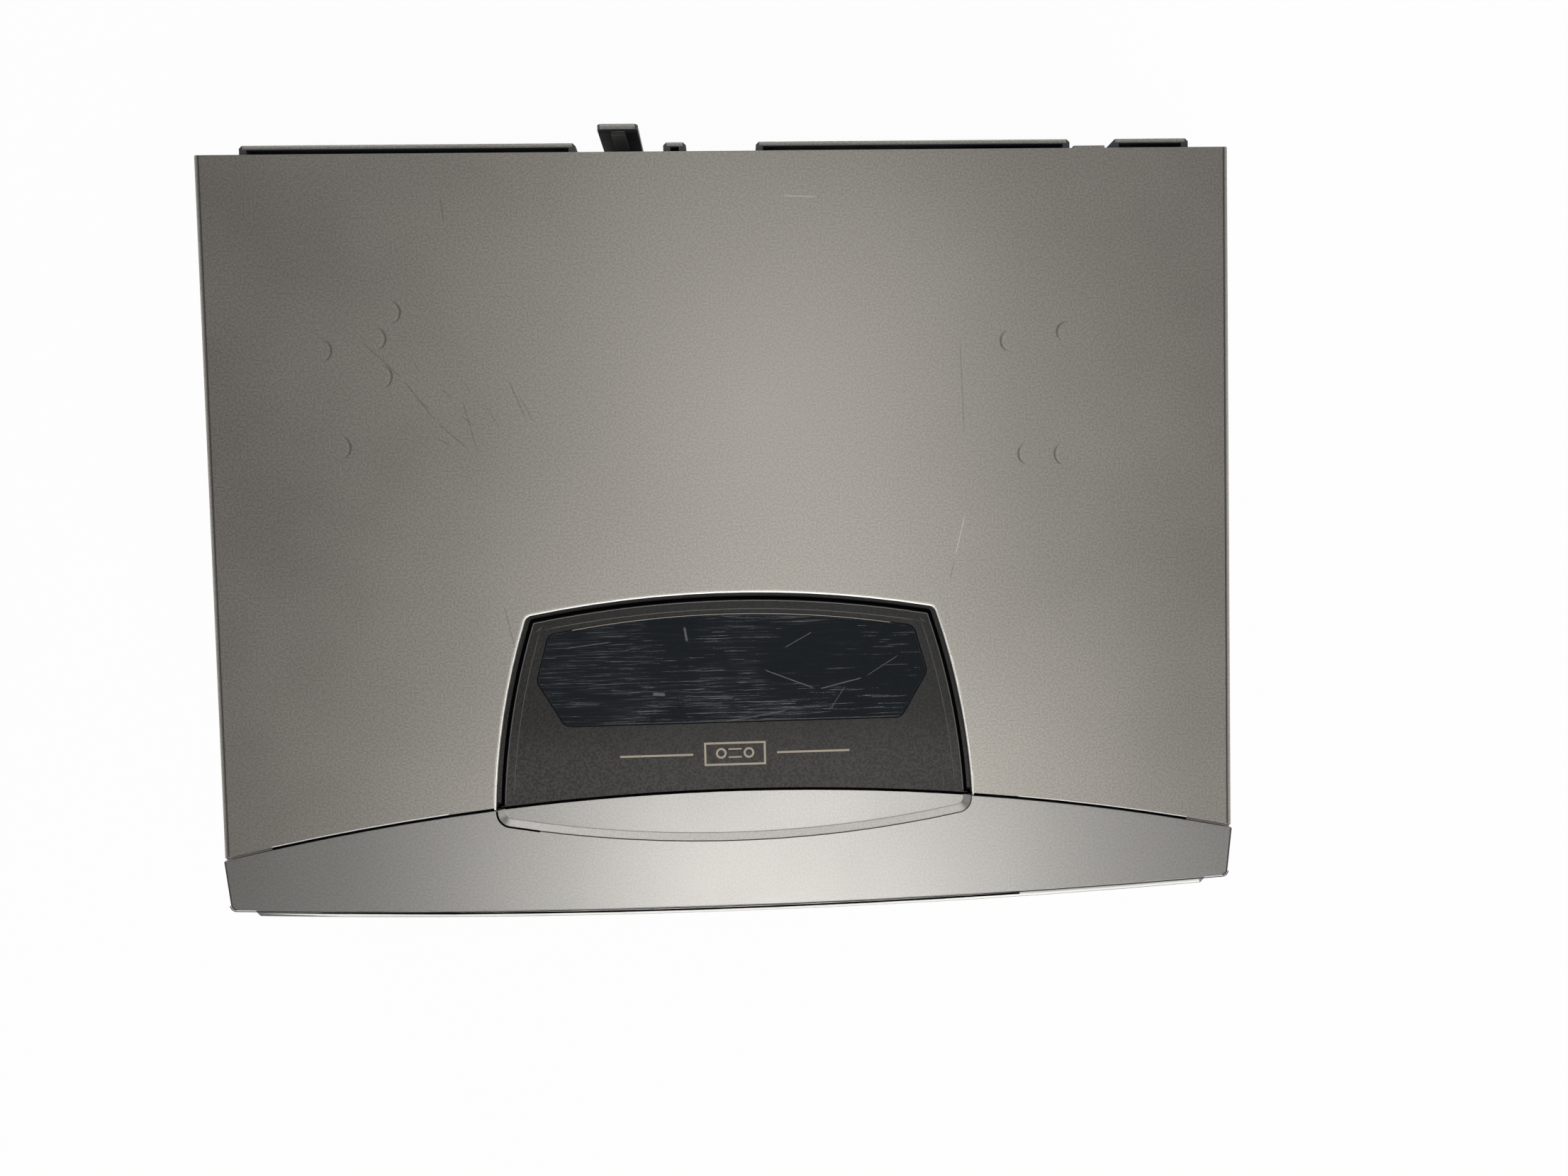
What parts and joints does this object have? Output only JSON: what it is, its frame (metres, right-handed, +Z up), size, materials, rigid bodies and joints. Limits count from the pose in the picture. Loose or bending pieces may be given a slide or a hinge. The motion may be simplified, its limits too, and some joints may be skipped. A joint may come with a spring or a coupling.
{
  "type": "video cassette recorder",
  "caption": "Low, wide video cassette recorder with a folded metal cover, bowed front, clear viewer over the cassette bay and a full tape deck inside.",
  "frame": {"origin": "middle of the box's lower face, on the surface that the feet stand on", "axes": "+X to the right seen from the front, -Y out of the front, +Z up"},
  "size_m": [0.36, 0.2836, 0.094],
  "materials": {
    "cover_paint": "satin champagne-grey paint",
    "bezel_plastic": "silver satin moulding",
    "frame_plastic": "dark grey textured moulding",
    "clear_lens": "clear scratched plastic",
    "smoked_window": "smoked clear plastic",
    "display_glass": "display tube",
    "rear_plastic": "dark grey moulding",
    "case_plastic": "black moulding",
    "plate_steel": "zinc-coated sheet",
    "foot_rubber": "dark rubber",
    "screw_steel": "blackened screws",
    "key_plastic": "silver key caps",
    "spring_steel": "spring wire",
    "circuit_board": "phenolic board",
    "front_jack": "phono jacks",
    "rear_jack": "phono jacks",
    "tuner_steel": "tinned screening can",
    "inlet_plastic": "black inlet",
    "transformer_iron": "laminated core",
    "flat_cable": "flat cable",
    "deck_steel": "pressed deck",
    "holder_steel": "pressed sheet",
    "gear_plastic": "white gear plastic",
    "drum_metal": "polished drum",
    "motor_steel": "motor can",
    "belt_rubber": "belt",
    "roller_rubber": "rubber roller",
    "head_metal": "heads"
  },
  "bodies": {
    "root": {"top_cover": "cover_paint", "front_bezel": "bezel_plastic", "front_fascia": "bezel_plastic", "viewer_frame": "frame_plastic", "viewer_lens": "clear_lens", "display_window": "smoked_window", "display_tube": "display_glass", "rear_panel": "rear_plastic", "cord_hook": "rear_plastic", "bottom_frame": "case_plastic", "bottom_plate": "plate_steel", "feet": "foot_rubber", "case_screws": "screw_steel", "door_spring": "spring_steel", "front_av_jacks": "front_jack", "front_board": "circuit_board", "tuner_module": "tuner_steel", "rear_av_jacks": "rear_jack", "ac_inlet": "inlet_plastic", "main_board": "circuit_board", "power_board": "circuit_board", "transformer": "transformer_iron", "ribbon_cable": "flat_cable", "deck_chassis": "deck_steel", "side_bracket_left": "deck_steel", "side_bracket_right": "deck_steel", "drum_base": "drum_metal", "capstan_motor": "motor_steel", "capstan_belt": "belt_rubber", "loading_motor": "motor_steel", "tape_heads": "head_metal"},
    "door": {"cassette_door": "bezel_plastic"},
    "flap": {"av_flap": "bezel_plastic"},
    "switch": {"channel_switch": "inlet_plastic"},
    "loader": {"loader_slides": "holder_steel"},
    "holder": {"cassette_holder": "holder_steel"},
    "rack_gear": {"loading_gear": "gear_plastic"},
    "drum": {"upper_drum": "drum_metal"},
    "capstan": {"capstan_flywheel": "motor_steel"},
    "clutch": {"clutch_pulley": "gear_plastic"},
    "pinch": {"pinch_arm": "deck_steel"},
    "roller": {"pinch_roller": "roller_rubber"},
    "supply": {"supply_reel": "gear_plastic"},
    "takeup": {"takeup_reel": "gear_plastic"},
    "idler": {"idler_arm": "deck_steel"},
    "idler_tyre": {"idler_wheel": "roller_rubber"},
    "tension": {"tension_arm": "deck_steel"},
    "supply_post": {"supply_guide": "motor_steel"},
    "takeup_post": {"takeup_guide": "motor_steel"},
    "cam": {"cam_gear": "gear_plastic"},
    "pinion": {"motor_pinion": "gear_plastic"},
    "power_key": {"power_button": "key_plastic"},
    "eject_key": {"eject_button": "key_plastic"},
    "rewind_key": {"rewind_button": "key_plastic"},
    "play_key": {"play_button": "key_plastic"},
    "forward_key": {"forward_button": "key_plastic"},
    "stop_key": {"stop_button": "key_plastic"},
    "record_key": {"record_button": "key_plastic"},
    "channel_down_key": {"channel_down_button": "key_plastic"},
    "channel_up_key": {"channel_up_button": "key_plastic"}
  },
  "joints": [
    {"name": "door_hinge", "type": "hinge", "parent": "root", "child": "door", "pos_m": [0, -0.136, 0.0887], "axis": [-1, 0, 0], "range_deg": [-95, 0], "stiffness_Nm_per_rad": 0.003},
    {"name": "flap_hinge", "type": "hinge", "parent": "root", "child": "flap", "pos_m": [-0.122, -0.13831, 0.0155], "axis": [0.9993, -0.0375, 0], "range_deg": [0, 90]},
    {"name": "power_press", "type": "slide", "parent": "root", "child": "power_key", "axis": [0, 1, 0], "range_m": [0, 0.0008], "stiffness_N_per_m": 600},
    {"name": "eject_press", "type": "slide", "parent": "root", "child": "eject_key", "axis": [0, 1, 0], "range_m": [0, 0.0008], "stiffness_N_per_m": 600},
    {"name": "rewind_press", "type": "slide", "parent": "root", "child": "rewind_key", "axis": [0, 1, 0], "range_m": [0, 0.0008], "stiffness_N_per_m": 600},
    {"name": "play_press", "type": "slide", "parent": "root", "child": "play_key", "axis": [0, 1, 0], "range_m": [0, 0.0008], "stiffness_N_per_m": 600},
    {"name": "forward_press", "type": "slide", "parent": "root", "child": "forward_key", "axis": [0, 1, 0], "range_m": [0, 0.0008], "stiffness_N_per_m": 600},
    {"name": "stop_press", "type": "slide", "parent": "root", "child": "stop_key", "axis": [0, 1, 0], "range_m": [0, 0.0008], "stiffness_N_per_m": 600},
    {"name": "record_press", "type": "slide", "parent": "root", "child": "record_key", "axis": [0, 1, 0], "range_m": [0, 0.0008], "stiffness_N_per_m": 600},
    {"name": "channel_down_press", "type": "slide", "parent": "root", "child": "channel_down_key", "axis": [0, 1, 0], "range_m": [0, 0.0008], "stiffness_N_per_m": 600},
    {"name": "channel_up_press", "type": "slide", "parent": "root", "child": "channel_up_key", "axis": [0, 1, 0], "range_m": [0, 0.0008], "stiffness_N_per_m": 600},
    {"name": "channel_select", "type": "slide", "parent": "root", "child": "switch", "axis": [1, 0, 0], "range_m": [0, 0.003]},
    {"name": "holder_travel", "type": "slide", "parent": "root", "child": "loader", "axis": [0, 1, 0], "range_m": [0, 0.061]},
    {"name": "holder_lower", "type": "slide", "parent": "loader", "child": "holder", "axis": [0, 0, -1], "range_m": [0, 0.0145]},
    {"name": "loading_gear_turn", "type": "hinge", "parent": "root", "child": "rack_gear", "pos_m": [0, -0.03352, 0.0422], "axis": [1, 0, 0], "range_deg": [-728.3, 0]},
    {"name": "drum_spin", "type": "hinge", "parent": "root", "child": "drum", "pos_m": [0, 0.06048, 0.044], "axis": [0.104, 0, 0.9946], "continuous": true},
    {"name": "capstan_spin", "type": "hinge", "parent": "root", "child": "capstan", "pos_m": [0.056, 0.03198, 0.022], "axis": [0, 0, 1], "continuous": true},
    {"name": "clutch_spin", "type": "hinge", "parent": "root", "child": "clutch", "pos_m": [0, -0.01402, 0.037], "axis": [0, 0, 1], "continuous": true},
    {"name": "supply_spin", "type": "hinge", "parent": "root", "child": "supply", "pos_m": [-0.046, -0.03852, 0.037], "axis": [0, 0, 1], "continuous": true},
    {"name": "takeup_spin", "type": "hinge", "parent": "root", "child": "takeup", "pos_m": [0.046, -0.03852, 0.037], "axis": [0, 0, 1], "continuous": true},
    {"name": "idler_swing", "type": "hinge", "parent": "root", "child": "idler", "pos_m": [0, -0.01402, 0.037], "axis": [0, 0, 1], "range_deg": [-25, 25]},
    {"name": "idler_spin", "type": "hinge", "parent": "idler", "child": "idler_tyre", "pos_m": [0, -0.04112, 0.037], "axis": [0, 0, 1], "continuous": true},
    {"name": "pinch_swing", "type": "hinge", "parent": "root", "child": "pinch", "pos_m": [0.0673, 0.06698, 0.051], "axis": [0, 0, -1], "range_deg": [0, 30]},
    {"name": "pinch_spin", "type": "hinge", "parent": "pinch", "child": "roller", "pos_m": [0.0848, 0.03667, 0.051], "axis": [0, 0, 1], "continuous": true},
    {"name": "tension_swing", "type": "hinge", "parent": "root", "child": "tension", "pos_m": [-0.084, 0.03398, 0.037], "axis": [0, 0, 1], "range_deg": [-12, 12], "stiffness_Nm_per_rad": 0.002},
    {"name": "cam_turn", "type": "hinge", "parent": "root", "child": "cam", "pos_m": [-0.082, 0.07198, 0.037], "axis": [0, 0, 1], "range_deg": [0, 164.8]},
    {"name": "supply_load", "type": "hinge", "parent": "root", "child": "supply_post", "pos_m": [0.0378, 0.05628, 0.0356], "axis": [0, 0, 1], "range_deg": [-41.3, 0]},
    {"name": "takeup_load", "type": "hinge", "parent": "root", "child": "takeup_post", "pos_m": [-0.0378, 0.05628, 0.0356], "axis": [0, 0, 1], "range_deg": [0, 41.3]},
    {"name": "pinion_turn", "type": "hinge", "parent": "root", "child": "pinion", "pos_m": [-0.06985, 0.09302, 0.037], "axis": [0, 0, 1], "range_deg": [-577, 0]}
  ],
  "couplings": [
    {"joint": "loading_gear_turn", "follows": "holder_travel", "rad_per_m": -208.33},
    {"joint": "clutch_spin", "follows": "capstan_spin", "ratio": 0.5},
    {"joint": "supply_load", "follows": "cam_turn", "ratio": -0.25},
    {"joint": "takeup_load", "follows": "cam_turn", "ratio": 0.25},
    {"joint": "pinion_turn", "follows": "cam_turn", "ratio": -3.5}
  ]
}
